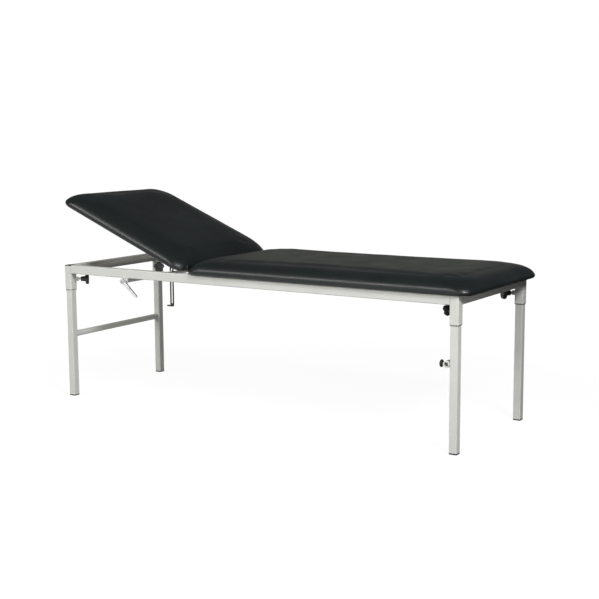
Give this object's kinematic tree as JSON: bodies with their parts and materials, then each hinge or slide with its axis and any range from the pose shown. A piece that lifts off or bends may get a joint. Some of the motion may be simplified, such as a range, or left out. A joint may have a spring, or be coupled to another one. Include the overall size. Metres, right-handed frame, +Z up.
{
  "type": "examination couch with tilting head section",
  "caption": "Steel tube treatment couch with a padded seat section, a raising head section on a slotted strut clamp, and legs that adjust in height by clamping knobs.",
  "frame": {"origin": "on the floor under the middle of the couch's outline", "axes": "+X from the head end to the foot end, +Y from the clamping lever's side to the other side, +Z up"},
  "size_m": [1.871, 0.6443, 0.8592],
  "materials": {
    "vinyl": "matt embossed upholstery vinyl over foam",
    "plywood": "unfinished plywood and softwood battens",
    "paint": "light warm grey powder coat",
    "black_plastic": "moulded black plastic",
    "foot_rubber": "black rubber",
    "zinc": "bright zinc plated steel",
    "strut_steel": "dark rolled steel",
    "lever_casting": "die-cast silver"
  },
  "bodies": {
    "frame": {"clamp_nut": "zinc", "clamp_washers": "zinc", "cross_tube_front": "paint", "cross_tube_rear": "paint", "crossbar_foot": "paint", "crossbar_head": "paint", "crossbar_hinge": "paint", "crossbar_seat": "paint", "hanger_front": "paint", "hanger_rear": "paint", "hinge_leaf_seat_front": "zinc", "hinge_leaf_seat_rear": "zinc", "hinge_pins": "zinc", "hinge_screws_seat": "zinc", "knob_bosses": "paint", "seat_batten": "plywood", "seat_board": "plywood", "seat_cushion": "vinyl", "seat_screws": "zinc", "side_rail_front": "paint", "side_rail_rear": "paint", "socket_caps": "black_plastic", "socket_front_foot": "paint", "socket_front_head": "paint", "socket_rear_foot": "paint", "socket_rear_head": "paint"},
    "backrest": {"back_batten": "plywood", "back_board": "plywood", "back_cushion": "vinyl", "bracket_screws": "zinc", "hinge_leaf_back_front": "zinc", "hinge_leaf_back_rear": "zinc", "hinge_screws_back": "zinc", "strut_bracket": "zinc", "strut_pin": "zinc"},
    "strut": {"strut": "strut_steel"},
    "clamp_lever": {"clamp_lever": "lever_casting", "clamp_rod": "zinc", "lever_screw": "zinc"},
    "head_legs": {"leg_front_head": "paint", "leg_rear_head": "paint", "head_stretcher": "paint", "foot_cap_front_head": "foot_rubber", "foot_cap_rear_head": "foot_rubber"},
    "front_foot_leg": {"leg_front_foot": "paint", "foot_cap_front_foot": "foot_rubber", "accessory_holder": "paint"},
    "rear_foot_leg": {"leg_rear_foot": "paint", "foot_cap_rear_foot": "foot_rubber"},
    "holder_knob": {"holder_knob": "black_plastic", "holder_stud": "zinc"},
    "knob_front_head": {"knob_front_head": "black_plastic", "knob_stud_front_head": "zinc"},
    "knob_rear_head": {"knob_rear_head": "black_plastic", "knob_stud_rear_head": "zinc"},
    "knob_front_foot": {"knob_front_foot": "black_plastic", "knob_stud_front_foot": "zinc"},
    "knob_rear_foot": {"knob_rear_foot": "black_plastic", "knob_stud_rear_foot": "zinc"}
  },
  "joints": [
    {"name": "backrest_tilt", "type": "hinge", "parent": "frame", "child": "backrest", "pos_m": [-0.2985, 0, 0.59], "axis": [0, 1, 0], "range_deg": [-22.6, 19.4]},
    {"name": "strut_pivot", "type": "hinge", "parent": "backrest", "child": "strut", "pos_m": [-0.60302, 0, 0.66693], "axis": [0, 1, 0], "range_deg": [-9.8, 11.4]},
    {"name": "clamp_lever_turn", "type": "hinge", "parent": "frame", "child": "clamp_lever", "pos_m": [-0.6035, -0.3155, 0.515], "axis": [0, 1, 0], "range_deg": [0, 75]},
    {"name": "head_legs_extend", "type": "slide", "parent": "frame", "child": "head_legs", "axis": [0, 0, -1], "range_m": [0, 0.04]},
    {"name": "front_foot_leg_extend", "type": "slide", "parent": "frame", "child": "front_foot_leg", "axis": [0, 0, -1], "range_m": [0, 0.04]},
    {"name": "rear_foot_leg_extend", "type": "slide", "parent": "frame", "child": "rear_foot_leg", "axis": [0, 0, -1], "range_m": [0, 0.04]},
    {"name": "knob_turn_front_head", "type": "hinge", "parent": "frame", "child": "knob_front_head", "pos_m": [-0.88618, -0.25568, 0.501], "axis": [0.7071, 0.7071, 0], "continuous": true},
    {"name": "knob_turn_rear_head", "type": "hinge", "parent": "frame", "child": "knob_rear_head", "pos_m": [-0.88618, 0.25568, 0.501], "axis": [0.7071, -0.7071, 0], "continuous": true},
    {"name": "knob_turn_front_foot", "type": "hinge", "parent": "frame", "child": "knob_front_foot", "pos_m": [0.84018, -0.25568, 0.501], "axis": [-0.7071, 0.7071, 0], "continuous": true},
    {"name": "knob_turn_rear_foot", "type": "hinge", "parent": "frame", "child": "knob_rear_foot", "pos_m": [0.84018, 0.25568, 0.501], "axis": [-0.7071, -0.7071, 0], "continuous": true},
    {"name": "holder_knob_turn", "type": "hinge", "parent": "front_foot_leg", "child": "holder_knob", "pos_m": [0.8235, -0.2875, 0.318], "axis": [-1, 0, 0], "continuous": true}
  ],
  "couplings": [
    {"joint": "strut_pivot", "follows": "backrest_tilt", "ratio": -0.5}
  ]
}
